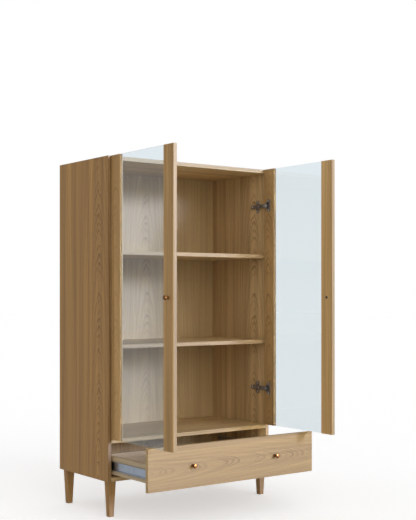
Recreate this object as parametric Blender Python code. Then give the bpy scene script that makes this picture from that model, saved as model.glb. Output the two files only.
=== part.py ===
"""Oak display cabinet with two tall glass doors, two shelves and a full-width drawer.

The model rests with both doors open a quarter turn and the drawer pulled out.
Lengths are metres, +Z is up and the doors open towards -Y.
"""

import math

import bmesh
import bpy
from mathutils import Matrix, Vector

# Driving sizes of the carcass
CABINET_W = 1.000
INTERIOR_D = 0.450
DISPLAY_H = 1.337
DRAWER_ZONE_H = 0.200
LEG_H = 0.170
BOARD_T = 0.019
BACK_T = 0.008
REBATE_W = 0.010

# Clearances
TOUCH = 0.0003
EASE = 0.0008
OVERRUN = 0.004

# Shelves and their pins
SHELF_COUNT = 2
SHELF_PLAY = 0.0005
PIN_R = 0.0025
PIN_COLLAR_R = 0.0045
PIN_COLLAR_T = 0.0015
PIN_IN = 0.008
PIN_OUT = 0.009
PIN_FROM_EDGE = 0.050
PIN_SEGMENTS = 12

# Legs
LEG_TOP_W = 0.040
LEG_FOOT_W = 0.026
LEG_INSET = 0.012

# Doors
DOOR_GAP = 0.002
REVEAL = 0.0015
STILE_W = 0.0745
GLASS_T = 0.005
GLASS_SETBACK = 0.0055
GROOVE_D = 0.010
DOOR_OPEN_INSET = 0.0156
DOOR_OPEN_GAP = 0.004

# Knobs; the profile is (share of the head's radius, share of the projection) from the foot out
KNOB_R = 0.0105
KNOB_OUT = 0.026
KNOB_FOOT_SHARES = ((0.76, 0.07), (0.66, 0.13), (0.50, 0.22), (0.46, 0.36))
KNOB_HEAD_SHARES = ((0.58, 0.50), (0.85, 0.58), (1.0, 0.68), (1.0, 0.84), (0.85, 0.95), (0.50, 1.0))
KNOB_SEGMENTS = 24

# Cup hinges: heights and pins
HINGE_FROM_END = 0.190
CUP_SETBACK = 0.0245
CUP_PIN_IN = 0.013
CUP_PIN_DEPTH = 0.003
ARM_PIN_REACH = 0.023
INNER_PIN_OUT = 0.0067
INNER_PIN_AHEAD = 0.0028
INNER_END_IN = 0.018
INNER_END_DEPTH = 0.005
HINGE_PIN_R = 0.0012

# Cup hinges: cup and flange
CUP_BORE_R = 0.0175
CUP_BORE_D = 0.0118
CUP_WALL = 0.0010
CUP_CAVITY_D = 0.0105
FLANGE_R = 0.0188
FLANGE_T = 0.0012
EAR_T = 0.0010
EAR_OFFSET = 0.0120
EAR_HALF_W = 0.0125
EAR_HALF_H = 0.0325
EAR_CORNER_R = 0.0060
CUP_SEGMENTS = 32

# Cup hinges: plate and arm
PLATE_SETBACK = 0.063
PLATE_WING_T = 0.0025
PLATE_WING_HALF_H = 0.032
PLATE_WING_HALF_W = 0.0113
PLATE_WING_CORNER_R = 0.0056
SPINE_LENGTH = 0.074
SPINE_HALF_H = 0.0075
SPINE_T = 0.0097
ARM_T = 0.0014
ARM_CHEEK_IN = 0.0082
ARM_TAIL = 0.107
ARM_BEND = 0.036
ARM_FOOT = 0.0035
ARM_NOSE_R = 0.0032
ARM_NOSE_INNER_SWEEP = (math.radians(35), math.radians(-70))
ARM_NOSE_OUTER_SWEEP = (math.radians(-110), math.radians(-200))
ARM_HEEL = 0.024
DEPTH_SLOT_FROM_TAIL = 0.013
DEPTH_SLOT_HALF_L = 0.0068
DEPTH_SLOT_HALF_W = 0.0034
DEPTH_SLOT_CORNER_R = 0.0031
SCREW_HOLE_R = 0.0036
SCREW_HOLE_BEHIND_BEND = 0.012

# Cup hinges: links
LINK_PLAY = 0.0006
LINK_HALF_T = 0.00105
LINK_EYE_R = 0.0025
OUTER_CHEEK_OUT = 0.0072
OUTER_CHEEK_T = 0.0016
INNER_HALF_H = 0.0040
OUTER_KNEE_SHARES = ((0.29, 0.11), (0.62, 0.21), (0.84, 0.23))
INNER_KNEE_SHARES = ((0.38, 0.21), (0.68, 0.24))
OUTER_WEB_SHARES = (0.33, 0.66)

# Drawer
DRAWER_OUT = 0.307
DRAWER_BOX_D = 0.400
DRAWER_BOX_H = 0.085
DRAWER_SIDE_T = 0.012
DRAWER_BOTTOM_T = 0.006
DRAWER_GROOVE_D = 0.005
DRAWER_GROOVE_UP = 0.010
DRAWER_LIFT = 0.014
DRAWER_KNOB_SHARE = 0.25

# Drawer slides
SLIDE_W = 0.0127
SLIDE_RAIL_H = 0.045
SLIDE_T = 0.0012
SLIDE_LIP = 0.0095
SLIDE_SETBACK = 0.004

# Round stretches
ARC_SEGMENTS = 6
EYE_SEGMENTS = 10
NOSE_SEGMENTS = 4
SHARP_ANGLE = math.radians(35)

# Sizes that follow from the ones above
HALF_W = CABINET_W / 2
CARCASS_D = INTERIOR_D + BACK_T
BASE_Z = LEG_H
FLOOR_Z = BASE_Z + DRAWER_ZONE_H
TOP_Z = FLOOR_Z + DISPLAY_H
DOOR_BOTTOM = FLOOR_Z + REVEAL
DOOR_H = TOP_Z - DOOR_BOTTOM
DOOR_W = HALF_W - 2 * REVEAL
DOOR_REACH = DOOR_OPEN_GAP + DOOR_W
FRONT_Y = (DOOR_REACH - CARCASS_D) / 2
CUP_R = CUP_BORE_R - TOUCH
CAVITY_R = CUP_R - CUP_WALL
CUP_D = CUP_CAVITY_D + CUP_WALL
SLIDE_RUNNER_H = SLIDE_RAIL_H - 2 * (SLIDE_T + TOUCH)

LEFT = -1
RIGHT = 1
SIDE_NAMES = {LEFT: "left", RIGHT: "right"}

# Colours are linear, then roughness and metallic
FINISHES = {
    "oak_outer": ((0.258, 0.153, 0.065), 0.55, 0.0),
    "oak_inner": ((0.200, 0.118, 0.050), 0.60, 0.0),
    "oak_front": ((0.300, 0.185, 0.085), 0.55, 0.0),
    "drawer_board": ((0.420, 0.300, 0.170), 0.60, 0.0),
    "clear_glass": ((0.800, 0.880, 0.900), 0.03, 0.0),
    "dark_steel": ((0.070, 0.062, 0.060), 0.35, 0.9),
    "slide_steel": ((0.420, 0.420, 0.430), 0.30, 1.0),
    "bronze": ((0.090, 0.045, 0.025), 0.35, 0.9),
}


def clear_scene():
    for old in list(bpy.data.objects):
        bpy.data.objects.remove(old, do_unlink=True)


def place(side, inset, depth, height):
    """World point from a distance in from one side, back from the front plane and up."""
    return Vector((side * (HALF_W - inset), FRONT_Y + depth, height))


def finish_material(finish, name):
    """One Principled material of its own for a piece."""
    color, roughness, metallic = FINISHES[finish]
    material = bpy.data.materials.new(name + "_finish")
    material.use_nodes = True
    shader = material.node_tree.nodes["Principled BSDF"]
    shader.inputs["Base Color"].default_value = (*color, 1.0)
    shader.inputs["Roughness"].default_value = roughness
    shader.inputs["Metallic"].default_value = metallic
    if finish == "clear_glass":
        shader.inputs["Transmission Weight"].default_value = 1.0
    return material


def mesh_object(name, form, finish=None):
    """Turn a bmesh into an object with its faces pointing out."""
    bmesh.ops.recalc_face_normals(form, faces=form.faces)
    mesh = bpy.data.meshes.new(name)
    form.to_mesh(mesh)
    form.free()
    item = bpy.data.objects.new(name, mesh)
    bpy.context.scene.collection.objects.link(item)
    if finish:
        mesh.materials.append(finish_material(finish, name))
    return item


def prism(name, outline, at, start, end, finish=None):
    """Extrude a flat outline; at(u, v, w) gives the world point."""
    form = bmesh.new()
    first = [form.verts.new(at(u, v, start)) for u, v in outline]
    last = [form.verts.new(at(u, v, end)) for u, v in outline]
    form.faces.new(first)
    form.faces.new(reversed(last))
    count = len(outline)
    for index in range(count):
        following = (index + 1) % count
        form.faces.new((first[index], first[following], last[following], last[index]))
    return mesh_object(name, form, finish)


def turned(name, profile, centre, axis, segments, finish=None):
    """Revolve (radius, distance along the axis) points; the ends are closed by flat caps."""
    axis = Vector(axis).normalized()
    across = axis.orthogonal().normalized()
    upright = axis.cross(across)
    form = bmesh.new()
    rings = []
    for radius, along in profile:
        ring = []
        for index in range(segments):
            angle = 2 * math.pi * index / segments
            spoke = across * math.cos(angle) + upright * math.sin(angle)
            ring.append(form.verts.new(centre + axis * along + spoke * radius))
        rings.append(ring)
    form.faces.new(rings[0])
    form.faces.new(reversed(rings[-1]))
    for low, high in zip(rings, rings[1:]):
        for index in range(segments):
            following = (index + 1) % segments
            form.faces.new((low[index], low[following], high[following], high[index]))
    item = mesh_object(name, form, finish)
    item.data.shade_smooth()
    item.data.set_sharp_from_angle(angle=SHARP_ANGLE)
    return item


def ease_edges(item, width=EASE):
    """Chamfer the outward edges and leave the inner corners of grooves and rebates sharp."""
    form = bmesh.new()
    form.from_mesh(item.data)
    weight = form.edges.layers.float.new("bevel_weight_edge")
    for edge in form.edges:
        edge[weight] = 1.0 if edge.is_convex else 0.0
    form.to_mesh(item.data)
    form.free()
    bevel = item.modifiers.new("eased_edges", "BEVEL")
    bevel.width = width
    bevel.segments = 1
    bevel.limit_method = "WEIGHT"


def combine(item, tool, operation):
    """Cut a tool out of a piece, or weld it on."""
    tool.hide_render = True
    tool.display_type = "WIRE"
    change = item.modifiers.new(operation.lower(), "BOOLEAN")
    change.operation = operation
    change.solver = "EXACT"
    change.object = tool


def cut(item, tool):
    combine(item, tool, "DIFFERENCE")


def weld(item, tool):
    combine(item, tool, "UNION")


def axis_point(name, point):
    """An empty on a joint's axis, for the moving pieces to hang from."""
    empty = bpy.data.objects.new(name, None)
    empty.location = point
    bpy.context.scene.collection.objects.link(empty)
    return empty


def hang(items, empty):
    """Parent pieces to an empty and bring their origins to it."""
    shift = Matrix.Translation(-empty.location)
    for item in items:
        item.data.transform(shift)
        item.parent = empty


def arc(centre, radius, start, end, steps=ARC_SEGMENTS):
    """Points on an arc, angles in radians, both ends included."""
    points = []
    for index in range(steps + 1):
        angle = start + (end - start) * index / steps
        points.append((centre[0] + radius * math.cos(angle), centre[1] + radius * math.sin(angle)))
    return points


def rounded_rectangle(centre, half_u, half_v, radius):
    points = []
    for quarter, (sign_u, sign_v) in enumerate(((1, 1), (-1, 1), (-1, -1), (1, -1))):
        corner = (centre[0] + sign_u * (half_u - radius), centre[1] + sign_v * (half_v - radius))
        start = quarter * math.pi / 2
        points += arc(corner, radius, start, start + math.pi / 2)
    return points


def rectangle(low_u, low_v, high_u, high_v):
    return [(low_u, low_v), (high_u, low_v), (high_u, high_v), (low_u, high_v)]


def board(name, low, high, finish):
    """A board from the left panel's frame: (inset, depth, height) of two opposite corners."""
    outline = rectangle(low[0], low[1], high[0], high[1])
    item = prism(name, outline, lambda u, v, w: place(LEFT, u, v, w), low[2], high[2], finish)
    ease_edges(item)
    return item


def pin_heights():
    """Height of each shelf's top and of the pins that carry it."""
    heights = []
    for index in range(SHELF_COUNT):
        top = FLOOR_Z + DISPLAY_H * (index + 1) / (SHELF_COUNT + 1)
        heights.append((top, top - BOARD_T - TOUCH - PIN_R))
    return heights


def pin_depths():
    return (("front", PIN_FROM_EDGE), ("back", INTERIOR_D - PIN_FROM_EDGE))


def side_panel(side):
    """Upright board with a rebate for the back panel and bores for the shelf pins."""
    outline = [
        (0, 0),
        (BOARD_T, 0),
        (BOARD_T, INTERIOR_D),
        (BOARD_T - REBATE_W, INTERIOR_D),
        (BOARD_T - REBATE_W, CARCASS_D),
        (0, CARCASS_D),
    ]
    name = "side_" + SIDE_NAMES[side]
    panel = prism(name, outline, lambda u, v, w: place(side, u, v, w), BASE_Z, TOP_Z, "oak_outer")
    ease_edges(panel)
    bore_start = BOARD_T - PIN_IN - TOUCH
    bore = [(PIN_R + TOUCH, bore_start), (PIN_R + TOUCH, BOARD_T + OVERRUN)]
    for _, height in pin_heights():
        for _, depth in pin_depths():
            cut(panel, turned("pin_bore", bore, place(side, 0, depth, height), (-side, 0, 0), PIN_SEGMENTS))
    return panel


def top_panel():
    """Top board, rebated underneath at the back for the back panel."""
    low = TOP_Z - BOARD_T
    outline = [
        (0, low),
        (INTERIOR_D, low),
        (INTERIOR_D, low + REBATE_W),
        (CARCASS_D, low + REBATE_W),
        (CARCASS_D, TOP_Z),
        (0, TOP_Z),
    ]
    start = BOARD_T + TOUCH
    end = CABINET_W - BOARD_T - TOUCH
    panel = prism("top_panel", outline, lambda u, v, w: place(LEFT, w, u, v), start, end, "oak_inner")
    ease_edges(panel)


def carcass_boards():
    start = BOARD_T + TOUCH
    end = CABINET_W - start
    board("display_floor", (start, 0, FLOOR_Z - BOARD_T), (end, INTERIOR_D, FLOOR_Z), "oak_inner")
    board("base_panel", (start, 0, BASE_Z), (end, INTERIOR_D, BASE_Z + BOARD_T), "oak_inner")
    back_start = BOARD_T - REBATE_W + TOUCH
    back_top = TOP_Z - BOARD_T + REBATE_W - TOUCH
    low = (back_start, INTERIOR_D + TOUCH, BASE_Z)
    board("back_panel", low, (CABINET_W - back_start, CARCASS_D, back_top), "oak_inner")


def shelves():
    start = BOARD_T + SHELF_PLAY
    end = CABINET_W - start
    pin = [
        (PIN_R, BOARD_T - PIN_IN),
        (PIN_R, BOARD_T + TOUCH),
        (PIN_COLLAR_R, BOARD_T + TOUCH),
        (PIN_COLLAR_R, BOARD_T + TOUCH + PIN_COLLAR_T),
        (PIN_R, BOARD_T + TOUCH + PIN_COLLAR_T),
        (PIN_R, BOARD_T + PIN_OUT),
    ]
    collar_notch = PIN_COLLAR_R - PIN_R
    for level, (top, pin_z) in zip(("lower", "upper"), pin_heights()):
        low = (start, 0, top - BOARD_T)
        shelf = board("shelf_" + level, low, (end, INTERIOR_D - TOUCH, top), "oak_inner")
        for side in (LEFT, RIGHT):
            for end_name, depth in pin_depths():
                name = "_".join(("shelf_pin", level, SIDE_NAMES[side], end_name))
                turned(name, pin, place(side, 0, depth, pin_z), (-side, 0, 0), PIN_SEGMENTS, "slide_steel")
                notch = rectangle(
                    depth - PIN_COLLAR_R - TOUCH,
                    top - BOARD_T - OVERRUN,
                    depth + PIN_COLLAR_R + TOUCH,
                    top - BOARD_T + collar_notch,
                )
                notch_end = BOARD_T + TOUCH + PIN_COLLAR_T + SHELF_PLAY
                tool = prism(
                    "collar_notch",
                    notch,
                    lambda u, v, w, side=side: place(side, w, u, v),
                    BOARD_T - OVERRUN,
                    notch_end,
                )
                cut(shelf, tool)


def leg(side, end_name, depth):
    """Plain square leg, tapered to the foot, under one corner of the base panel."""
    centre_in = LEG_INSET + LEG_TOP_W / 2
    form = bmesh.new()
    rings = []
    for half, height in ((LEG_FOOT_W / 2, 0), (LEG_TOP_W / 2, LEG_H - TOUCH)):
        corners = ((-half, -half), (half, -half), (half, half), (-half, half))
        rings.append([form.verts.new(place(side, centre_in + u, depth + v, height)) for u, v in corners])
    form.faces.new(rings[0])
    form.faces.new(reversed(rings[1]))
    for index in range(4):
        following = (index + 1) % 4
        form.faces.new((rings[0][index], rings[0][following], rings[1][following], rings[1][index]))
    item = mesh_object("leg_" + end_name + "_" + SIDE_NAMES[side], form, "oak_outer")
    ease_edges(item)


def legs():
    half = LEG_TOP_W / 2
    for side in (LEFT, RIGHT):
        leg(side, "front", LEG_INSET + half)
        leg(side, "back", INTERIOR_D - LEG_INSET - half)


def knob(name, seat, direction, segments=KNOB_SEGMENTS):
    """Turned knob: a flared foot, a waist and a rounded head."""
    profile = [(KNOB_R * KNOB_FOOT_SHARES[0][0], TOUCH)]
    for radius_share, out_share in KNOB_FOOT_SHARES + KNOB_HEAD_SHARES:
        profile.append((KNOB_R * radius_share, KNOB_OUT * out_share))
    return turned(name, profile, seat, direction, segments, "bronze")


def door_point(side):
    """Door coordinates to the world: along from the hinge edge, in from the inner face, up."""
    inner = DOOR_OPEN_INSET + BOARD_T

    def at(along, into, height):
        return place(side, inner - into, -DOOR_OPEN_GAP - along, height)

    return at


def stile(side, kind, start, groove_at_end):
    """Upright door board with a groove along one edge for the glass."""
    end = start + STILE_W
    glass_out = BOARD_T - GLASS_SETBACK + TOUCH
    glass_in = BOARD_T - GLASS_SETBACK - GLASS_T - TOUCH
    groove_end = end if groove_at_end else start
    groove_floor = groove_end - GROOVE_D if groove_at_end else groove_end + GROOVE_D
    plain_end = start if groove_at_end else end
    outline = [
        (plain_end, 0),
        (plain_end, BOARD_T),
        (groove_end, BOARD_T),
        (groove_end, glass_out),
        (groove_floor, glass_out),
        (groove_floor, glass_in),
        (groove_end, glass_in),
        (groove_end, 0),
    ]
    name = "_".join(("door", SIDE_NAMES[side], kind, "stile"))
    item = prism(name, outline, door_point(side), DOOR_BOTTOM, TOP_Z, "oak_front")
    ease_edges(item)
    return item


def hinge_heights():
    return (("lower", DOOR_BOTTOM + HINGE_FROM_END), ("upper", TOP_Z - HINGE_FROM_END))


def door(side):
    """Two stiles and a tall pane, with a knob on the free stile."""
    at = door_point(side)
    hinge_stile = stile(side, "hinge", 0, True)
    bore = [(CUP_BORE_R, -OVERRUN), (CUP_BORE_R, CUP_BORE_D)]
    for _, height in hinge_heights():
        centre = at(CUP_SETBACK, 0, height)
        cut(hinge_stile, turned("cup_bore", bore, centre, (side, 0, 0), CUP_SEGMENTS))
    free_stile = stile(side, "free", DOOR_W - STILE_W, False)
    overlap = GROOVE_D - TOUCH
    pane_low = BOARD_T - GLASS_SETBACK - GLASS_T
    pane = rectangle(STILE_W - overlap, pane_low, DOOR_W - STILE_W + overlap, BOARD_T - GLASS_SETBACK)
    name = "door_" + SIDE_NAMES[side]
    glass = prism(name + "_glass", pane, at, DOOR_BOTTOM, TOP_Z, "clear_glass")
    seat = at(DOOR_W - STILE_W / 2, BOARD_T, DOOR_BOTTOM + DOOR_H / 2)
    handle = knob(name + "_knob", seat, (side, 0, 0))
    return [hinge_stile, free_stile, glass, handle]


def cup_pin():
    """Cup pin of the open door, as (inset, depth)."""
    return (DOOR_OPEN_INSET + BOARD_T - CUP_PIN_DEPTH, -DOOR_OPEN_GAP - CUP_PIN_IN)


def arm_pin():
    """Arm pin as (inset, depth): as far from the cup pin of the closed as of the open door."""
    shut = Vector((REVEAL + CUP_PIN_IN, -DOOR_GAP - CUP_PIN_DEPTH))
    opened = Vector(cup_pin())
    travel = opened - shut
    inboard = Vector((-travel.y, travel.x)).normalized()
    pin = (shut + opened) / 2 + inboard * ARM_PIN_REACH
    return (pin.x, pin.y)


def inner_arm_pin():
    pin = arm_pin()
    return (pin[0] + INNER_PIN_OUT, pin[1] - INNER_PIN_AHEAD)


def inner_link_end():
    return (DOOR_OPEN_INSET + BOARD_T - INNER_END_DEPTH, -DOOR_OPEN_GAP - INNER_END_IN)


def link_outline(start, end, knee_shares):
    """Bent strip between two round eyes; the knees are shares of the pin distance."""
    start = Vector(start)
    end = Vector(end)
    run = end - start
    inboard = Vector((-run.y, run.x))
    spine = [start] + [start + run * along + inboard * aside for along, aside in knee_shares] + [end]
    first = spine[1] - spine[0]
    last = spine[-2] - spine[-1]
    opening = math.asin(LINK_HALF_T / LINK_EYE_R)
    first_angle = math.atan2(first.y, first.x)
    last_angle = math.atan2(last.y, last.x)
    turn = 2 * math.pi - opening
    points = arc(start, LINK_EYE_R, first_angle + opening, first_angle + turn, EYE_SEGMENTS)
    left = []
    right = []
    for before, here, after in zip(spine, spine[1:], spine[2:]):
        heading = ((here - before).normalized() + (after - here).normalized()).normalized()
        offset = Vector((-heading.y, heading.x)) * LINK_HALF_T
        left.append(tuple(here + offset))
        right.append(tuple(here - offset))
    points += right
    points += arc(end, LINK_EYE_R, last_angle + opening, last_angle + turn, EYE_SEGMENTS)
    points += reversed(left)
    return points


def hinge_tool(side, height):
    """Hinge coordinates to the world: inset, depth, and up from the hinge's middle."""
    return lambda u, v, w: place(side, u, v, height + w)


def pin_tool(side, spot, height, low, high, radius):
    centre = place(side, spot[0], spot[1], height)
    return turned("pin_tool", [(radius, low), (radius, high)], centre, (0, 0, 1), PIN_SEGMENTS)


def outer_link(name, side, height):
    """Two cheeks joined by a web, bored for the arm pin and the cup pin."""
    at = hinge_tool(side, height)
    arm = arm_pin()
    cup = cup_pin()
    outline = link_outline(arm, cup, OUTER_KNEE_SHARES)
    item = prism(name, outline, at, -OUTER_CHEEK_OUT, OUTER_CHEEK_OUT, "dark_steel")
    inside = OUTER_CHEEK_OUT - OUTER_CHEEK_T
    web_back = arm[1] + (cup[1] - arm[1]) * OUTER_WEB_SHARES[0]
    web_front = arm[1] + (cup[1] - arm[1]) * OUTER_WEB_SHARES[1]
    reach = ARM_PIN_REACH
    for start, end in ((web_back, web_back + reach), (web_front - reach, web_front)):
        window = rectangle(cup[0] - reach, start, arm[0] + reach, end)
        cut(item, prism("link_window", window, at, -inside, inside))
    for spot in (arm, cup):
        bore_r = HINGE_PIN_R + TOUCH
        cut(item, pin_tool(side, spot, height, -OUTER_CHEEK_OUT - OVERRUN, OUTER_CHEEK_OUT + OVERRUN, bore_r))
    return item


def inner_link(name, side, height):
    """Flat link that runs from the arm's second pin into the cup; its cup end is free."""
    at = hinge_tool(side, height)
    arm = inner_arm_pin()
    outline = link_outline(arm, inner_link_end(), INNER_KNEE_SHARES)
    item = prism(name, outline, at, -INNER_HALF_H, INNER_HALF_H, "dark_steel")
    reach = INNER_HALF_H + OVERRUN
    cut(item, pin_tool(side, arm, height, -reach, reach, HINGE_PIN_R + TOUCH))
    return item


def hinge_arm(name, side, height):
    """Channel over the mounting plate, rising to a forked nose that holds both arm pins."""
    at = hinge_tool(side, height)
    crest = BOARD_T + SPINE_T + TOUCH + ARM_T
    foot = BOARD_T + ARM_FOOT
    outer_pin = arm_pin()
    inner_pin = inner_arm_pin()
    outline = [(foot, ARM_TAIL), (crest, ARM_TAIL), (crest, ARM_BEND)]
    outline += arc(inner_pin, ARM_NOSE_R, *ARM_NOSE_INNER_SWEEP, NOSE_SEGMENTS)
    outline += arc(outer_pin, ARM_NOSE_R, *ARM_NOSE_OUTER_SWEEP, NOSE_SEGMENTS)
    outline += [(foot, ARM_HEEL)]
    cheek_out = ARM_CHEEK_IN + ARM_T
    item = prism(name, outline, at, -cheek_out, cheek_out, "dark_steel")
    clear_of_links = outer_pin[1] + LINK_EYE_R + LINK_PLAY
    under = crest - ARM_T
    slope = (ARM_BEND - inner_pin[1]) / (inner_pin[0] + ARM_NOSE_R - crest)
    web_end = under + (ARM_BEND - clear_of_links) / slope
    channel = [
        (BOARD_T, ARM_TAIL + OVERRUN),
        (under, ARM_TAIL + OVERRUN),
        (under, ARM_BEND),
        (web_end, clear_of_links),
        (inner_pin[0] + ARM_NOSE_R + OVERRUN, clear_of_links),
        (inner_pin[0] + ARM_NOSE_R + OVERRUN, -OVERRUN),
        (BOARD_T, -OVERRUN),
    ]
    cut(item, prism("arm_channel", channel, at, -ARM_CHEEK_IN, ARM_CHEEK_IN))
    slot_centre = (ARM_TAIL - DEPTH_SLOT_FROM_TAIL, height)
    slot = rounded_rectangle(slot_centre, DEPTH_SLOT_HALF_L, DEPTH_SLOT_HALF_W, DEPTH_SLOT_CORNER_R)
    web_low = under - TOUCH
    web_high = crest + OVERRUN
    cut(item, prism("depth_slot", slot, lambda u, v, w: place(side, w, u, v), web_low, web_high))
    hole_centre = place(side, 0, ARM_BEND + SCREW_HOLE_BEHIND_BEND, height)
    hole = [(SCREW_HOLE_R, web_low), (SCREW_HOLE_R, web_high)]
    cut(item, turned("screw_hole", hole, hole_centre, (-side, 0, 0), PIN_SEGMENTS))
    reach = ARM_CHEEK_IN + ARM_T / 2
    for spot in (outer_pin, inner_pin):
        weld(item, pin_tool(side, spot, height, -reach, reach, HINGE_PIN_R))
    return item


def hinge_plate(name, side, height):
    """Cross-shaped plate: two wings up and down, and a spine under the arm."""
    low = BOARD_T + TOUCH
    centre = (PLATE_SETBACK, height)
    wings = rounded_rectangle(centre, PLATE_WING_HALF_W, PLATE_WING_HALF_H, PLATE_WING_CORNER_R)
    item = prism(name, wings, lambda u, v, w: place(side, w, u, v), low, low + PLATE_WING_T, "dark_steel")
    back = PLATE_SETBACK + SPINE_LENGTH / 2
    spine = rectangle(low + TOUCH, back - SPINE_LENGTH, BOARD_T + SPINE_T, back)
    weld(item, prism("plate_spine", spine, hinge_tool(side, height), -SPINE_HALF_H, SPINE_HALF_H))
    return item


def hinge_cup(name, side, height):
    """Round cup with a rim, two screw ears, a gap in the rim for the links, and the cup pin."""
    at = door_point(side)
    centre = at(CUP_SETBACK, 0, height)
    inward = (side, 0, 0)
    rim_low = -TOUCH - FLANGE_T
    bowl = [(FLANGE_R, rim_low), (FLANGE_R, -TOUCH), (CUP_R, -TOUCH), (CUP_R, CUP_D)]
    item = turned(name, bowl, centre, inward, CUP_SEGMENTS, "dark_steel")
    ear_centre = (CUP_SETBACK + EAR_OFFSET, height)
    ears = rounded_rectangle(ear_centre, EAR_HALF_W, EAR_HALF_H, EAR_CORNER_R)
    ear_low = -TOUCH - FLANGE_T / 2 - EAR_T / 2
    weld(item, prism("cup_ears", ears, lambda u, v, w: at(u, w, v), ear_low, ear_low + EAR_T))
    cavity = [(CAVITY_R, rim_low - OVERRUN), (CAVITY_R, CUP_CAVITY_D)]
    cut(item, turned("cup_cavity", cavity, centre, inward, CUP_SEGMENTS))
    link_half = OUTER_CHEEK_OUT + 2 * LINK_PLAY
    gap = rectangle(-OVERRUN, height - link_half, CUP_SETBACK, height + link_half)
    cut(item, prism("rim_gap", gap, lambda u, v, w: at(u, w, v), rim_low - OVERRUN, -TOUCH / 2))
    chord = math.sqrt(CAVITY_R ** 2 - (CUP_SETBACK - CUP_PIN_IN) ** 2)
    pin_end = chord + CUP_WALL / 2
    pin_start = INNER_HALF_H + LINK_PLAY
    for low, high in ((-pin_end, -pin_start), (pin_start, pin_end)):
        weld(item, pin_tool(side, cup_pin(), height, low, high, HINGE_PIN_R))
    return item


def drawer_point(side):
    """Drawer coordinates to the world, with the drawer pulled out."""
    return lambda u, v, w: place(side, u, v - DRAWER_OUT, w)


def drawer():
    """Front, two grooved sides, back and bottom, with two knobs and two runners."""
    box_low = BASE_Z + BOARD_T + DRAWER_LIFT
    box_high = box_low + DRAWER_BOX_H
    box_front = -DOOR_GAP + TOUCH
    box_back = -DOOR_GAP + DRAWER_BOX_D
    outer = BOARD_T + SLIDE_W
    inner = outer + DRAWER_SIDE_T
    groove_low = box_low + DRAWER_GROOVE_UP
    groove_high = groove_low + DRAWER_BOTTOM_T
    pieces = []
    at = drawer_point(LEFT)

    front = prism(
        "drawer_front",
        rectangle(REVEAL, -DOOR_GAP - BOARD_T, CABINET_W - REVEAL, -DOOR_GAP),
        at,
        BASE_Z,
        FLOOR_Z - REVEAL,
        "oak_front",
    )
    ease_edges(front)
    slot = rectangle(inner - DRAWER_GROOVE_D, -DOOR_GAP - DRAWER_GROOVE_D, CABINET_W - inner + DRAWER_GROOVE_D, 0)
    cut(front, prism("front_groove", slot, at, groove_low - TOUCH, groove_high + TOUCH))
    pieces.append(front)

    for side in (LEFT, RIGHT):
        outline = [
            (outer, box_low),
            (inner, box_low),
            (inner, groove_low - TOUCH),
            (inner - DRAWER_GROOVE_D, groove_low - TOUCH),
            (inner - DRAWER_GROOVE_D, groove_high + TOUCH),
            (inner, groove_high + TOUCH),
            (inner, box_high),
            (outer, box_high),
        ]
        at_side = drawer_point(side)
        name = "drawer_side_" + SIDE_NAMES[side]
        wall = prism(name, outline, lambda u, v, w: at_side(u, w, v), box_front, box_back, "drawer_board")
        ease_edges(wall)
        pieces.append(wall)

    start = inner + TOUCH
    end = CABINET_W - start
    back_wall = prism(
        "drawer_back",
        rectangle(start, box_back - DRAWER_SIDE_T, end, box_back),
        at,
        groove_high + TOUCH,
        box_high,
        "drawer_board",
    )
    ease_edges(back_wall)
    pieces.append(back_wall)
    tongue = DRAWER_GROOVE_D - TOUCH
    sheet = rectangle(inner - tongue, -DOOR_GAP - tongue, CABINET_W - inner + tongue, box_back)
    pieces.append(prism("drawer_bottom", sheet, at, groove_low, groove_high, "drawer_board"))

    knob_z = BASE_Z + DRAWER_ZONE_H / 2
    for side in (LEFT, RIGHT):
        seat = drawer_point(side)(CABINET_W * DRAWER_KNOB_SHARE, -DOOR_GAP - BOARD_T, knob_z)
        pieces.append(knob("drawer_knob_" + SIDE_NAMES[side], seat, (0, -1, 0)))
        pieces.append(drawer_runner(side, box_low + DRAWER_BOX_H / 2, box_front, box_back))
    hang(pieces, axis_point("drawer_slide_axis", at(HALF_W, 0, knob_z)))


def channel_outline(web, lip, half, middle):
    """C section across the slide: web at one inset, lips reaching to another."""
    wall = SLIDE_T if lip > web else -SLIDE_T
    return [
        (web, middle - half),
        (lip, middle - half),
        (lip, middle - half + SLIDE_T),
        (web + wall, middle - half + SLIDE_T),
        (web + wall, middle + half - SLIDE_T),
        (lip, middle + half - SLIDE_T),
        (lip, middle + half),
        (web, middle + half),
    ]


def slide_rail(side, middle):
    web = BOARD_T + TOUCH
    outline = channel_outline(web, web + SLIDE_LIP, SLIDE_RAIL_H / 2, middle)
    name = "slide_rail_" + SIDE_NAMES[side]
    end = SLIDE_SETBACK + DRAWER_BOX_D
    return prism(name, outline, lambda u, v, w: place(side, u, w, v), SLIDE_SETBACK, end, "slide_steel")


def drawer_runner(side, middle, start, end):
    web = BOARD_T + SLIDE_W - TOUCH
    outline = channel_outline(web, web - SLIDE_LIP, SLIDE_RUNNER_H / 2, middle)
    at = drawer_point(side)
    name = "drawer_runner_" + SIDE_NAMES[side]
    return prism(name, outline, lambda u, v, w: at(u, w, v), start, end, "slide_steel")


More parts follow.
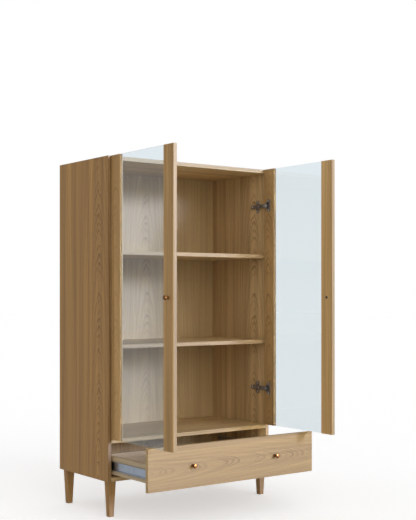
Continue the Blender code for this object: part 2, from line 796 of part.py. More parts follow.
def hinged_door(side):
    """A door with its two cup hinges, each piece hung from the axis it turns about."""
    word = SIDE_NAMES[side]
    door_pieces = door(side)
    outer_links = []
    inner_links = []
    for level, height in hinge_heights():
        tail = "_" + word + "_" + level
        hinge_plate("hinge_plate" + tail, side, height)
        hinge_arm("hinge_arm" + tail, side, height)
        outer_links.append(outer_link("outer_link" + tail, side, height))
        inner_links.append(inner_link("inner_link" + tail, side, height))
        door_pieces.append(hinge_cup("hinge_cup" + tail, side, height))
    middle = DOOR_BOTTOM + DOOR_H / 2
    hang(outer_links, axis_point(word + "_outer_link_axis", place(side, *arm_pin(), middle)))
    hang(inner_links, axis_point(word + "_inner_link_axis", place(side, *inner_arm_pin(), middle)))
    hang(door_pieces, axis_point(word + "_door_axis", place(side, *cup_pin(), middle)))


def build():
    clear_scene()
    for side in (LEFT, RIGHT):
        side_panel(side)
        slide_rail(side, BASE_Z + BOARD_T + DRAWER_LIFT + DRAWER_BOX_H / 2)
        hinged_door(side)
    top_panel()
    carcass_boards()
    shelves()
    legs()
    drawer()


build()
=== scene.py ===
"""Looks of the oak display cabinet: wood, glass, metal, small fasteners, camera and studio."""

import math

import bmesh
import bpy
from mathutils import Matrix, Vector


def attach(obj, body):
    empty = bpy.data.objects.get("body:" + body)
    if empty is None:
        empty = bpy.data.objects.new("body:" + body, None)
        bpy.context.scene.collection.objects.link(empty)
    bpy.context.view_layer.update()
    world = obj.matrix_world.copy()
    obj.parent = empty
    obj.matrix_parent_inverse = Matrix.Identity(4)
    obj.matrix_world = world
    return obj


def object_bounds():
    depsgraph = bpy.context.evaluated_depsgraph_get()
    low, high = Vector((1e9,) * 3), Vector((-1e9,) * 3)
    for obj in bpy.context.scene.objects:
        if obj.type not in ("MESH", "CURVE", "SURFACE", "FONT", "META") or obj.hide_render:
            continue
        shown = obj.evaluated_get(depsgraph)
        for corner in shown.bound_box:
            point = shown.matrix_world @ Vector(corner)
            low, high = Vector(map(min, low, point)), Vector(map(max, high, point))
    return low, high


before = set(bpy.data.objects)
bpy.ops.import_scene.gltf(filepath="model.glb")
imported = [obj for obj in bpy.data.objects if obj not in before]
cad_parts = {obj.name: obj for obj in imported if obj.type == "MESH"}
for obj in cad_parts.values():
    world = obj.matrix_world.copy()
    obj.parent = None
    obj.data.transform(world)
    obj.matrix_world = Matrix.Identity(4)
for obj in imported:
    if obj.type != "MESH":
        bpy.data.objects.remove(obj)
cad_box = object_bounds()

SIDES = ("left", "right")
LEVELS = ("lower", "upper")

# Camera, fitted to the photograph's edges; pixels are of the 416 x 520 picture
PICTURE_W = 416
PICTURE_H = 520
HORIZON_PX = 293.52
VANISHING_PX = 161.98
FOCAL_PX = 1009.43
SENSOR = 36.0
CAMERA_PLACE = Vector((-3.0371, -3.9918, 1.0576))
CAMERA_TURN = math.radians(35.36)

# Studio: the sky's light, the colour that gloss mirrors, and the floor's glow, half width and shade
SKY_LEVEL = 0.54
GLOSS_SKY = (0.50, 0.57, 0.66, 1.0)
FLOOR_GLOW = 0.49
FLOOR_HALF = 40.0
FLOOR_SHADE = 0.78

# Lamps: strength, then turn to the right, rise above the horizon and spread in degrees
KEY = (0.50, 20, 13, 15)
FRONT = (1.25, -24, 4, 80)
SHEEN = (14.2, 20, 17, 15)
SHEEN_COLOUR = (1.0, 0.945, 0.975)

# Mean wood colours, linear; the inner faces of the boards and door stiles are paler than the outer ones,
# painted light that lifts the shade inside
OUTER = (0.368, 0.194, 0.055)
STILE = (0.427, 0.247, 0.086)
FREE_STILE_INNER_PAINTED_LIGHT = {"left": (0.600, 0.380, 0.160), "right": (0.640, 0.407, 0.172)}
# Hinge stiles' inner faces: the left is paler as painted light, the right darker as painted shade beside
# the carcass
HINGE_STILE_INNER_PAINTED_LIGHT_AND_SHADE = {"left": (0.600, 0.380, 0.160), "right": (0.450, 0.275, 0.112)}
SIDE_INNER_PAINTED_LIGHT = (0.520, 0.358, 0.176)
BACK_INNER_PAINTED_LIGHT = (0.470, 0.325, 0.148)
LYING_PAINTED_LIGHT = (0.580, 0.403, 0.184)
DRAWER_FACE = (0.467, 0.295, 0.111)
DRAWER = (0.520, 0.395, 0.245)
# Drawer bay lining, paler as painted light for the shade in the bay
BAY_PAINTED_LIGHT = (0.850, 0.620, 0.310)

# Mean colours of the boards' edges, linear: pale banding, made paler still as painted sheen
BAND_AND_PAINTED_SHEEN = (0.455, 0.296, 0.130)
# The display floor's front edge is paler again, painted light where the glass door keeps light off it
FLOOR_BAND_AND_PAINTED_LIGHT = (0.575, 0.385, 0.150)
TOP_BAND_AND_PAINTED_SHEEN = (0.500, 0.355, 0.160)
# Side panels' front edges: the left is dark, painted shade from the open left door; the right is pale
# banding with painted sheen
SIDE_BAND_PAINTED_SHADE_AND_SHEEN = {"left": (0.265, 0.150, 0.056), "right": (0.540, 0.338, 0.140)}

# Darkest and lightest wood, as shares of the mean colour
DARK_SHARES = (0.62, 0.58, 0.52)
LIGHT_SHARES = (1.30, 1.33, 1.36)

# Underside of the display floor; in the drawer bay under it the boards are painted paler, painted light
# for the bay's shade
BAY_TOP = 0.352

# Grain, in metres: veneer leaves, with rings that arch about each leaf's middle
LEAF = 0.50
BACK_LEAF = 1.30
LEAF_STAGGER = 0.23
RING = 0.0019
RING_START = 0.080
RING_TAPER = 0.050
SWAY_REACH = 0.060
WOBBLE_REACH = 0.004
CORE_WOBBLE = 0.0030
LATE_WOOD_POWER = 3.0

# Boards: middle of the figure in metres, seed, and strength of the rings and of the streaks
BOARD_GRAIN = {
    "side_left": (0.105, 1.0, 1.35, 1.3),
    "side_right": (0.117, 2.3, 1.35, 1.3),
    "door_left_hinge_stile": (-0.02, 9.0, 0.45, 1.2),
    "door_right_hinge_stile": (-0.02, 11.0, 0.9, 1.2),
    "door_left_free_stile": (-0.60, 10.0, 0.5, 2.0),
    "door_right_free_stile": (-0.60, 12.0, 0.5, 1.3),
    "leg_front_left": (0.0, 14.0, 0.4, 1.0),
    "leg_back_left": (0.0, 14.0, 0.4, 1.0),
    "leg_front_right": (0.0, 15.0, 0.4, 1.0),
    "leg_back_right": (0.0, 15.0, 0.4, 1.0),
    "back_panel": (0.031, 3.1, 1.0, 0.7),
    "top_panel": (0.10, 4.0, 0.6, 1.0),
    "base_panel": (0.10, 5.0, 0.6, 1.0),
    "shelf_upper": (0.15, 6.0, 0.6, 1.0),
    "shelf_lower": (0.20, 7.0, 0.6, 1.0),
    "display_floor": (0.25, 8.0, 0.6, 1.0),
    "drawer_front": (0.262, 17.0, 0.8, 1.0),
    "drawer_side_left": (0.25, 20.0, 0.4, 1.0),
    "drawer_side_right": (0.25, 21.0, 0.4, 1.0),
    "drawer_back": (0.25, 22.0, 0.4, 1.0),
    "drawer_bottom": (0.0, 23.0, 0.4, 1.0),
}

# Grain noises: scale across the grain, scale along it, detail and offset
SWAY_NOISE = (2.0, 1.3, 1.0, 0.0)
WOBBLE_NOISE = (70.0, 12.0, 2.0, 3.0)
STREAK_NOISE = (130.0, 1.4, 3.0, 11.0)
BROAD_NOISE = (24.0, 0.35, 2.0, 17.0)
PORE_NOISE = (1500.0, 70.0, 1.0, 23.0)
GRAIN_NOISE_ROUGHNESS = 0.55
RING_NOISE_SCALE = 0.37

# Ramps: lowest and highest value in, then lowest and highest value out
RING_STRENGTH = (0.40, 0.62, 0.1, 1.5)
PORE_SHARE = (0.60, 0.72, 0.0, 1.0)
WOOD_ROUGHNESS = (0.3, 0.7, 0.45, 0.53)

# Tone of the wood, from 0 for the darkest to 1 for the lightest, and what shifts it
MEAN_TONE = 0.52
MEAN_LINE = 0.20
LINE_SHIFT = -0.70
STREAK_SHIFT = 0.75
BROAD_SHIFT = 1.35
PORE_SHIFT = -0.30
BAND_MEAN_TONE = 0.5
BAND_STREAK_SHIFT = 2.2

# Surface of the wood
PORE_ROUGHNESS = 0.12
TOP_MATT = 0.35
WOOD_SPECULAR = 0.35
PORE_RELIEF = -1.0
LINE_RELIEF = -0.25
WOOD_BUMP = (0.3, 0.0002)

# A face looks along an axis where its normal reaches further along it than this
FACING = 0.6

# Metals: darker and lighter colour, linear, and roughness
METALS = {
    "hinge_steel": ((0.27, 0.243, 0.225), (0.41, 0.373, 0.345), 0.62),
    "slide_zinc": ((0.42, 0.42, 0.43), (0.52, 0.52, 0.53), 0.30),
    "knob_bronze": ((0.145, 0.062, 0.021), (0.225, 0.104, 0.035), 0.38),
    "knob_screw_dark": ((0.110, 0.096, 0.100), (0.180, 0.160, 0.164), 0.50),
    "screw_zinc": ((0.74, 0.75, 0.78), (0.88, 0.89, 0.92), 0.36),
}

# Surface of the metal and the glass
BLOTCH_SCALE = 90.0
GRIT_SCALE = 1400.0
NOISE_MIDDLE = (0.3, 0.7)
METAL_ROUGHNESS_SPREAD = 0.06
METAL_BUMP = (0.12, 0.0001)
GLASS_SCALE = 5.0
GLASS_TINTS = ((0.760, 0.836, 0.870), (0.772, 0.844, 0.876))
GLASS_IOR = 1.45

# Screws: places in metres; a hinge's are x and y, then how far a pair is above and below its middle
HINGE_Z = {"lower": 0.5615, "upper": 1.517}
WING_SCREW = (0.4785, 0.0845, 0.0225)
EAR_SCREW = (0.4640, -0.0165, 0.0240)
SIDE_ADJUSTER = (0.4712, 0.0695)
DEPTH_ADJUSTER = (0.4696, 0.1155)
DOOR_KNOB_SCREW = (0.4654, -0.44225, 1.03925)
DRAWER_KNOB_SCREW = (0.25, -0.2875, 0.270)
BACK_SCREW_FACE = 0.4795
BACK_SCREW_X = 0.4855
BACK_SCREW_ROWS = 7
BACK_SCREW_LOW = 0.215
BACK_SCREW_HIGH = 1.655
BACK_SCREW_ENDS = (0.1795, 1.6925)
BACK_SCREW_COLUMNS = (-0.30, 0.0, 0.30)

# Screw heads: radius and height, in metres
WING_HEAD = (0.0042, 0.0018)
EAR_HEAD = (0.0040, 0.0016)
SIDE_ADJUSTER_HEAD = (0.0033, 0.0022)
DEPTH_ADJUSTER_HEAD = (0.0046, 0.0018)
DOOR_KNOB_HEAD = (0.0072, 0.0022)
DRAWER_KNOB_HEAD = (0.0056, 0.0022)
BACK_HEAD = (0.0036, 0.0012)

# Shape of a screw head: rings of radius and height, and the cross recess, as shares
HEAD_SEGMENTS = 24
HEAD_RINGS = ((1.0, -0.10), (1.0, 0.22), (0.95, 0.58), (0.82, 0.86), (0.66, 1.0))
CROSS_REACH = 0.50
CROSS_HALF = 0.11
CROSS_DEPTH = 0.65
FIRST_TURN = 0.6
TURN_STEP = 0.7


def rgb(red, green, blue):
    """Opaque colour."""
    return (red, green, blue, 1.0)


def shade(colour, shares):
    """Colour with each channel taken down or up by its share."""
    return rgb(*(channel * share for channel, share in zip(colour, shares)))


WHITE = rgb(1, 1, 1)


class Graph:
    """Nodes of a material or world, with short calls for the ones used here."""

    def __init__(self, owner):
        owner.use_nodes = True
        self.owner = owner
        self.nodes = owner.node_tree.nodes
        self.links = owner.node_tree.links

    def add(self, kind, inputs=None, **settings):
        """Add a node; inputs are fed by socket name or number."""
        node = self.nodes.new("ShaderNode" + kind)
        for key, value in settings.items():
            setattr(node, key, value)
        for key, value in (inputs or {}).items():
            self.feed(value, node.inputs[key])
        return node

    def feed(self, value, socket):
        """Link an output to a socket, or set the socket to a plain value."""
        if isinstance(value, bpy.types.NodeSocket):
            self.links.new(value, socket)
        else:
            socket.default_value = value

    def math(self, operation, first, second=0.0, third=0.0, clamp=False):
        """Work out one number from up to three."""
        inputs = {0: first, 1: second, 2: third}
        return self.add("Math", inputs, operation=operation, use_clamp=clamp).outputs[0]

    def centred(self, noise):
        """Noise that swings about 0 in place of 0.5."""
        return self.math("SUBTRACT", noise, 0.5)

    def vector(self, x, y, z):
        """Join three numbers."""
        return self.add("CombineXYZ", {0: x, 1: y, 2: z}).outputs[0]

    def noise(self, vector, detail=2.0, roughness=0.5):
        """Noise from 0 to 1 at a place that is already scaled."""
        inputs = {"Vector": vector, "Scale": 1.0, "Detail": detail, "Roughness": roughness}
        return self.add("TexNoise", inputs).outputs["Fac"]

    def object_noise(self, scale):
        """Even noise that is fixed to the object."""
        place = self.add("TexCoord").outputs["Object"]
        scaled = self.add("VectorMath", {0: place, "Scale": scale}, operation="SCALE")
        return self.noise(scaled.outputs[0])

    def ramp(self, value, low, high, low_out=0.0, high_out=1.0):
        """Straight ramp between two values, held outside them."""
        names = ("Value", "From Min", "From Max", "To Min", "To Max")
        inputs = dict(zip(names, (value, low, high, low_out, high_out)))
        return self.add("MapRange", inputs).outputs["Result"]

    def blend(self, share, first, second):
        """Mix two colours."""
        node = self.add("Mix", data_type="RGBA")
        self.feed(share, node.inputs["Factor"])
        self.feed(first, node.inputs[6])
        self.feed(second, node.inputs[7])
        return node.outputs[2]

    def bump(self, height, strength, distance):
        """Relief from a height."""
        inputs = {"Height": height, "Strength": strength, "Distance": distance}
        return self.add("Bump", inputs).outputs["Normal"]

    def shader_mix(self, share, first, second):
        """Mix two shaders' nodes."""
        inputs = {0: share, 1: first.outputs[0], 2: second.outputs[0]}
        return self.add("MixShader", inputs)

    def finish(self, **values):
        """Feed the material's shader; underscores stand for the spaces in socket names."""
        shader = self.nodes["Principled BSDF"]
        for key, value in values.items():
            self.feed(value, shader.inputs[key.replace("_", " ")])
        return self.owner


def grain_noise(graph, axes, noise, seed):
    """Noise drawn out along the grain; axes are along, across and through the board."""
    length, width, depth = axes
    across_scale, along_scale, detail, offset = noise
    place = graph.vector(
        graph.math("MULTIPLY", width, across_scale),
        graph.math("MULTIPLY", length, along_scale),
        graph.math("MULTIPLY_ADD", depth, across_scale, seed + offset),
    )
    return graph.noise(place, detail, GRAIN_NOISE_ROUGHNESS)


def ring_lines(graph, axes, centre, leaf, seed):
    """Late wood of rings that arch about the middle of each veneer leaf."""
    length, width, _ = axes
    sway = graph.centred(grain_noise(graph, axes, SWAY_NOISE, seed))
    wobble = graph.centred(grain_noise(graph, axes, WOBBLE_NOISE, seed))
    shift = graph.math("MULTIPLY_ADD", sway, SWAY_REACH, graph.math("MULTIPLY", wobble, WOBBLE_REACH))
    turn = graph.math("DIVIDE", graph.math("SUBTRACT", graph.math("ADD", width, shift), centre), leaf)
    cell = graph.math("FLOOR", graph.math("ADD", turn, 0.5))
    aside = graph.math("MULTIPLY", graph.math("SUBTRACT", turn, cell), leaf)
    rise = graph.math("MULTIPLY_ADD", cell, LEAF_STAGGER, length)
    core = graph.math("MULTIPLY_ADD", rise, RING_TAPER, RING_START)
    core = graph.math("MULTIPLY_ADD", wobble, CORE_WOBBLE, core)
    square = graph.math("MULTIPLY_ADD", aside, aside, graph.math("MULTIPLY", core, core))
    ring = graph.math("DIVIDE", graph.math("SQRT", square), RING)
    inputs = {"W": ring, "Scale": RING_NOISE_SCALE, "Detail": 1.0}
    uneven = graph.add("TexNoise", inputs, noise_dimensions="1D").outputs["Fac"]
    late = graph.math("POWER", graph.math("FRACT", ring), LATE_WOOD_POWER)
    return graph.math("MULTIPLY", late, graph.ramp(uneven, *RING_STRENGTH))


def tint(graph, tone, colour):
    """Wood of a mean colour, darker or lighter by its tone."""
    return graph.blend(tone, shade(colour, DARK_SHARES), shade(colour, LIGHT_SHARES))


def oak(node, along, across, colours, face=None, leaf=LEAF, matt=0.0):
    """Oak veneer of one board: arched rings, streaks, pores and broad bands.

    The grain runs along one axis and its figure spreads across another. Face is an
    axis and a sign: the first colour is on the face that looks that way, the second
    on the opposite face, and the third on the edges; most of the colours given for
    inner faces and edges hold painted light and shade. A fourth colour, painted light,
    is for the part of the opposite face that is in the drawer bay. Matt adds roughness
    to faces that look up.
    """
    centre, seed, figure, lively = BOARD_GRAIN[node]
    graph = Graph(bpy.data.materials.new("oak_" + node))
    place = graph.add("TexCoord").outputs
    normal = graph.add("SeparateXYZ", {0: place["Normal"]}).outputs
    spots = dict(zip("XYZ", graph.add("SeparateXYZ", {0: place["Object"]}).outputs))
    through = ({"X", "Y", "Z"} - {along, across}).pop()
    axes = (spots[along], spots[across], spots[through])

    line = ring_lines(graph, axes, centre, leaf, seed)
    streak = grain_noise(graph, axes, STREAK_NOISE, seed)
    broad = grain_noise(graph, axes, BROAD_NOISE, seed)
    pore = graph.ramp(grain_noise(graph, axes, PORE_NOISE, seed), *PORE_SHARE)

    late_wood = graph.math("SUBTRACT", line, MEAN_LINE)
    tone = graph.math("MULTIPLY_ADD", late_wood, LINE_SHIFT * figure, MEAN_TONE)
    tone = graph.math("MULTIPLY_ADD", graph.centred(streak), STREAK_SHIFT * lively, tone)
    tone = graph.math("MULTIPLY_ADD", graph.centred(broad), BROAD_SHIFT * lively, tone)
    tone = graph.math("MULTIPLY_ADD", pore, PORE_SHIFT, tone, clamp=True)
    wood = tint(graph, tone, colours[0])
    if face:
        looks = graph.math("MULTIPLY", normal[face[0]], face[1])
        outward = graph.math("GREATER_THAN", looks, FACING)
        inward = graph.math("LESS_THAN", looks, -FACING)
        streaky = graph.centred(streak)
        band_tone = graph.math("MULTIPLY_ADD", streaky, BAND_STREAK_SHIFT, BAND_MEAN_TONE, clamp=True)
        # Edges take the band colour: pale banding with painted sheen
        wood = graph.blend(outward, tint(graph, band_tone, colours[2]), wood)
        # Inner faces take their own paler colour, painted light for the shade inside
        inner = tint(graph, tone, colours[1])
        if len(colours) > 3:
            # Below the display floor the inner face takes the paler bay colour, painted light
            painted_bay_light = graph.math("LESS_THAN", axes[0], BAY_TOP)
            inner = graph.blend(painted_bay_light, inner, tint(graph, tone, colours[3]))
        wood = graph.blend(inward, wood, inner)

    roughness = graph.math("MULTIPLY_ADD", pore, PORE_ROUGHNESS, graph.ramp(streak, *WOOD_ROUGHNESS))
    if matt:
        upward = graph.math("GREATER_THAN", normal["Z"], FACING)
        roughness = graph.math("MULTIPLY_ADD", upward, matt, roughness)
    relief = graph.math("MULTIPLY_ADD", pore, PORE_RELIEF, graph.math("MULTIPLY", line, LINE_RELIEF))
    return graph.finish(
        Base_Color=wood,
        Roughness=roughness,
        Specular_IOR_Level=WOOD_SPECULAR,
        Normal=graph.bump(relief, *WOOD_BUMP),
    )


def glass():
    """Clear float glass, whose faint green is a little uneven."""
    graph = Graph(bpy.data.materials.new("cabinet_glass"))
    dark, light = GLASS_TINTS
    return graph.finish(
        Base_Color=graph.blend(graph.object_noise(GLASS_SCALE), rgb(*dark), rgb(*light)),
        Roughness=0.0,
        IOR=GLASS_IOR,
        Transmission_Weight=1.0,
    )


def metal(name):
    """Plated or brushed metal with faint blotches and fine scratches."""
    dark, light, roughness = METALS[name]
    graph = Graph(bpy.data.materials.new(name))
    blotch = graph.ramp(graph.object_noise(BLOTCH_SCALE), *NOISE_MIDDLE)
    grit = graph.object_noise(GRIT_SCALE)
    smooth = roughness - METAL_ROUGHNESS_SPREAD
    rough = roughness + METAL_ROUGHNESS_SPREAD
    return graph.finish(
        Base_Color=graph.blend(blotch, rgb(*dark), rgb(*light)),
        Metallic=1.0,
        Roughness=graph.ramp(grit, *NOISE_MIDDLE, smooth, rough),
        Normal=graph.bump(grit, *METAL_BUMP),
    )


def paint(node, material):
    """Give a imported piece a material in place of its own."""
    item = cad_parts[node]
    item.data.materials.clear()
    item.data.materials.append(material)


def dress_board(node, along, across, *colours, **more):
    """Give a packed board oak of its own."""
    paint(node, oak(node, along, across, colours, **more))


def dress_side(side, sign):
    """The side panel, door stiles, legs and drawer side on one side of the cabinet."""
    more = {"face": ("X", sign), "matt": TOP_MATT}
    door = "door_" + side
    dress_board("side_" + side, "Z", "Y", OUTER, SIDE_INNER_PAINTED_LIGHT, SIDE_BAND_PAINTED_SHADE_AND_SHEEN[side], BAY_PAINTED_LIGHT, **more)
    dress_board(door + "_hinge_stile", "Z", "Y", STILE, HINGE_STILE_INNER_PAINTED_LIGHT_AND_SHADE[side], BAND_AND_PAINTED_SHEEN, **more)
    dress_board(door + "_free_stile", "Z", "Y", STILE, FREE_STILE_INNER_PAINTED_LIGHT[side], BAND_AND_PAINTED_SHEEN, **more)
    dress_board("leg_front_" + side, "Z", "X", OUTER)
    dress_board("leg_back_" + side, "Z", "X", OUTER)
    dress_board("drawer_side_" + side, "Y", "Z", DRAWER)


def dress_wood():
    """Oak for every board, leg and drawer part."""
    for sign, side in zip((-1, 1), SIDES):
        dress_side(side, sign)
    dress_board("back_panel", "Z", "X", OUTER, BACK_INNER_PAINTED_LIGHT, BAND_AND_PAINTED_SHEEN, BAY_PAINTED_LIGHT, face=("Y", 1), leaf=BACK_LEAF)
    dress_board("top_panel", "X", "Y", OUTER, LYING_PAINTED_LIGHT, TOP_BAND_AND_PAINTED_SHEEN, face=("Z", 1), matt=TOP_MATT)
    dress_board("base_panel", "X", "Y", OUTER, BAY_PAINTED_LIGHT, BAND_AND_PAINTED_SHEEN, face=("Z", -1))
    dress_board("shelf_upper", "X", "Y", LYING_PAINTED_LIGHT, LYING_PAINTED_LIGHT, BAND_AND_PAINTED_SHEEN, face=("Z", 1))
    dress_board("shelf_lower", "X", "Y", LYING_PAINTED_LIGHT, LYING_PAINTED_LIGHT, BAND_AND_PAINTED_SHEEN, face=("Z", 1))
    dress_board("display_floor", "X", "Y", LYING_PAINTED_LIGHT, BAY_PAINTED_LIGHT, FLOOR_BAND_AND_PAINTED_LIGHT, face=("Z", 1))
    dress_board("drawer_front", "X", "Z", DRAWER_FACE, DRAWER_FACE, BAND_AND_PAINTED_SHEEN, face=("Y", -1))
    dress_board("drawer_back", "X", "Z", DRAWER)
    dress_board("drawer_bottom", "X", "Y", DRAWER)


def dress_hardware():
    """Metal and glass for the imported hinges, pins, slides, knobs and panes."""
    steel = metal("hinge_steel")
    zinc = metal("slide_zinc")
    bronze = metal("knob_bronze")
    pane = glass()
    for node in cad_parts:
        if node.startswith(("hinge_", "outer_link", "inner_link", "shelf_pin")):
            paint(node, steel)
        elif node.startswith(("slide_rail", "drawer_runner")):
            paint(node, zinc)
        elif "knob" in node:
            paint(node, bronze)
        elif node.endswith("_glass"):
            paint(node, pane)


def spun(corner, angle):
    """A flat point turned anticlockwise about the middle."""
    u, v = corner
    return (u * math.cos(angle) - v * math.sin(angle), u * math.sin(angle) + v * math.cos(angle))


def cross_outline(reach, half):
    """Corners of an upright cross, anticlockwise from its right arm."""
    quarter = ((reach, -half), (reach, half), (half, half))
    corners = []
    for turn in range(4):
        corners += [spun(corner, turn * math.pi / 2) for corner in quarter]
    return corners


def wall(form, lower, upper):
    """Faces between two closed loops of the same count."""
    count = len(lower)
    for index in range(count):
        after = (index + 1) % count
        form.faces.new((lower[index], lower[after], upper[after], upper[index]))


def add_screw(form, seat, out, head, turn):
    """Domed head with a cross recess, on the point seat, looking along out.

    Head is its radius and height, and turn is the cross's, in radians.
    """
    radius, height = head
    out = Vector(out).normalized()
    side = Vector((0, 0, 1)).cross(out).normalized()
    up = out.cross(side)

    def loop(points, level):
        verts = []
        for u, v in points:
            spot = Vector(seat) + out * level * height + side * u * radius + up * v * radius
            verts.append(form.verts.new(spot))
        return verts

    angles = [2 * math.pi * index / HEAD_SEGMENTS for index in range(HEAD_SEGMENTS)]
    rings = []
    for share, level in HEAD_RINGS:
        rings.append(loop([(share * math.cos(angle), share * math.sin(angle)) for angle in angles], level))
    for lower, upper in zip(rings, rings[1:]):
        wall(form, lower, upper)
    form.faces.new(list(reversed(rings[0])))

    cross = [spun(corner, turn) for corner in cross_outline(CROSS_REACH, CROSS_HALF)]
    rim = loop(cross, 1.0)
    pit = loop(cross, 1.0 - CROSS_DEPTH)
    wall(form, pit, rim)
    form.faces.new(pit)
    edges = []
    for verts in (rings[-1], rim):
        for index, vert in enumerate(verts):
            after = verts[(index + 1) % len(verts)]
            edges.append(form.edges.get((vert, after)) or form.edges.new((vert, after)))
    bmesh.ops.triangle_fill(form, use_beauty=True, edges=edges)


def screws(name, body, material, out, seats):
    """One piece of several screws that look along out; seats are (place, head)."""
    form = bmesh.new()
    for index, (seat, head) in enumerate(seats):
        add_screw(form, seat, out, head, FIRST_TURN + TURN_STEP * index)
    bmesh.ops.recalc_face_normals(form, faces=form.faces)
    mesh = bpy.data.meshes.new(name)
    form.to_mesh(mesh)
    form.free()
    mesh.materials.append(material)
    piece = bpy.data.objects.new(name, mesh)
    bpy.context.scene.collection.objects.link(piece)
    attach(piece, body)


def add_hinge_screws(side, sign, level, material):
    """Screws of one hinge: on its plate and arm, and on its cup."""
    z = HINGE_Z[level]
    inward = (-sign, 0, 0)
    seats = []
    for up in (-1, 1):
        seats.append(((sign * WING_SCREW[0], WING_SCREW[1], z + up * WING_SCREW[2]), WING_HEAD))
    seats.append(((sign * SIDE_ADJUSTER[0], SIDE_ADJUSTER[1], z), SIDE_ADJUSTER_HEAD))
    seats.append(((sign * DEPTH_ADJUSTER[0], DEPTH_ADJUSTER[1], z), DEPTH_ADJUSTER_HEAD))
    screws("hinge_screws_" + side + "_" + level, "carcass", material, inward, seats)
    seats = []
    for up in (-1, 1):
        seats.append(((sign * EAR_SCREW[0], EAR_SCREW[1], z + up * EAR_SCREW[2]), EAR_HEAD))
    screws("cup_screws_" + side + "_" + level, side + "_door", material, inward, seats)


def add_back_screws(material):
    """Screws down both sides of the back panel and along its top and bottom."""
    spots = []
    for row in range(BACK_SCREW_ROWS):
        z = BACK_SCREW_LOW + (BACK_SCREW_HIGH - BACK_SCREW_LOW) * row / (BACK_SCREW_ROWS - 1)
        spots += [(-BACK_SCREW_X, z), (BACK_SCREW_X, z)]
    for z in BACK_SCREW_ENDS:
        spots += [(x, z) for x in BACK_SCREW_COLUMNS]
    seats = [((x, BACK_SCREW_FACE, z), BACK_HEAD) for x, z in spots]
    screws("back_panel_screws", "carcass", material, (0, 1, 0), seats)


def add_screws():
    """All the small fasteners, which only the dressed model has."""
    dark = metal("knob_screw_dark")
    bright = metal("screw_zinc")
    for sign, side in zip((-1, 1), SIDES):
        for level in LEVELS:
            add_hinge_screws(side, sign, level, bright)
        seats = [((sign * DOOR_KNOB_SCREW[0], DOOR_KNOB_SCREW[1], DOOR_KNOB_SCREW[2]), DOOR_KNOB_HEAD)]
        screws("knob_screw_" + side, side + "_door", dark, (-sign, 0, 0), seats)
    seats = []
    for sign in (-1, 1):
        place = (sign * DRAWER_KNOB_SCREW[0], DRAWER_KNOB_SCREW[1], DRAWER_KNOB_SCREW[2])
        seats.append((place, DRAWER_KNOB_HEAD))
    screws("drawer_knob_screws", "drawer", dark, (0, 1, 0), seats)
    add_back_screws(bright)


def set_camera():
    """Level camera whose shift frames the picture as the photograph does."""
    data = bpy.data.cameras.new("camera")
    data.sensor_width = SENSOR
    data.lens = FOCAL_PX * SENSOR / PICTURE_H
    data.shift_x = (PICTURE_W / 2 - VANISHING_PX) / PICTURE_H
    data.shift_y = (HORIZON_PX - PICTURE_H / 2) / PICTURE_H
    camera = bpy.data.objects.new("camera", data)
    camera.location = CAMERA_PLACE
    camera.rotation_euler = (math.radians(90), 0, -CAMERA_TURN)
    bpy.context.scene.collection.objects.link(camera)
    bpy.context.scene.camera = camera


def set_world():
    """Even pale light; seen directly, through glass or in gloss, the room is bright."""
    world = bpy.data.worlds.new("studio")
    bpy.context.scene.world = world
    graph = Graph(world)
    graph.nodes.clear()
    path = graph.add("LightPath").outputs
    lit = graph.add("Background", {"Color": WHITE, "Strength": SKY_LEVEL})
    seen = graph.add("Background", {"Color": WHITE, "Strength": 1.0})
    gloss = graph.add("Background", {"Color": GLOSS_SKY, "Strength": 1.0})
    unscattered = graph.math("LESS_THAN", path["Diffuse Depth"], 0.5)
    mirrored = graph.math("GREATER_THAN", path["Is Glossy Ray"], path["Is Transmission Ray"])
    room = graph.shader_mix(unscattered, lit, graph.shader_mix(mirrored, seen, gloss))
    graph.add("OutputWorld", {"Surface": room.outputs[0]})


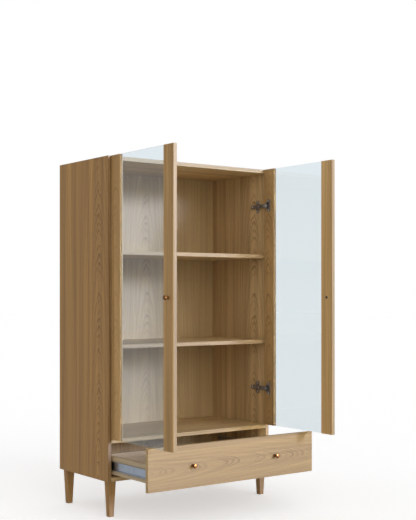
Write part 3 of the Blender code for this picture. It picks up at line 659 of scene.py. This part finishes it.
def set_lamp(name, lamp_facts, colour=(1, 1, 1), gloss_only=False):
    """Soft light, from the strength, turn, rise and spread in lamp_facts.

    No lamp shows through glass, and one that is only for gloss lights no matt surface.
    """
    level, side, rise, spread = lamp_facts
    side = math.radians(side)
    rise = math.radians(rise)
    data = bpy.data.lights.new(name, "SUN")
    data.energy = level
    data.color = colour
    data.angle = math.radians(spread)
    lamp = bpy.data.objects.new(name, data)
    reach = math.cos(rise)
    towards = Vector((math.sin(side) * reach, -math.cos(side) * reach, math.sin(rise)))
    lamp.rotation_euler = towards.to_track_quat("Z", "Y").to_euler()
    lamp.visible_transmission = False
    lamp.visible_diffuse = not gloss_only
    bpy.context.scene.collection.objects.link(lamp)


def studio_floor():
    """Matt white that keeps the shadows, and shows in gloss as the room does."""
    graph = Graph(bpy.data.materials.new("studio_floor"))
    graph.nodes.clear()
    path = graph.add("LightPath").outputs
    unscattered = graph.math("LESS_THAN", path["Diffuse Depth"], 0.5)
    glow = graph.math("MULTIPLY", unscattered, FLOOR_GLOW)
    matt = graph.add("BsdfDiffuse", {"Color": rgb(FLOOR_SHADE, FLOOR_SHADE, FLOOR_SHADE)})
    light = graph.add("Emission", {"Strength": glow})
    both = graph.add("AddShader", {0: matt.outputs[0], 1: light.outputs[0]})
    gloss = graph.add("Emission", {"Color": GLOSS_SKY})
    mirrored = graph.math("GREATER_THAN", path["Is Glossy Ray"], path["Is Transmission Ray"])
    mirrored = graph.math("MULTIPLY", unscattered, mirrored)
    room = graph.shader_mix(mirrored, both, gloss)
    graph.add("OutputMaterial", {"Surface": room.outputs[0]})
    return graph.owner


def lay_floor():
    """Wide plain floor under the cabinet."""
    form = bmesh.new()
    bmesh.ops.create_grid(form, x_segments=1, y_segments=1, size=FLOOR_HALF)
    mesh = bpy.data.meshes.new("floor")
    form.to_mesh(mesh)
    form.free()
    mesh.materials.append(studio_floor())
    floor = bpy.data.objects.new("floor", mesh)
    floor.location = (0, 0, cad_box[0].z)
    bpy.context.scene.collection.objects.link(floor)


set_camera()
set_world()
set_lamp("key", KEY)
set_lamp("front", FRONT)
set_lamp("sheen", SHEEN, SHEEN_COLOUR, gloss_only=True)
lay_floor()
dress_wood()
dress_hardware()
add_screws()
bpy.context.scene.view_settings.view_transform = "Standard"
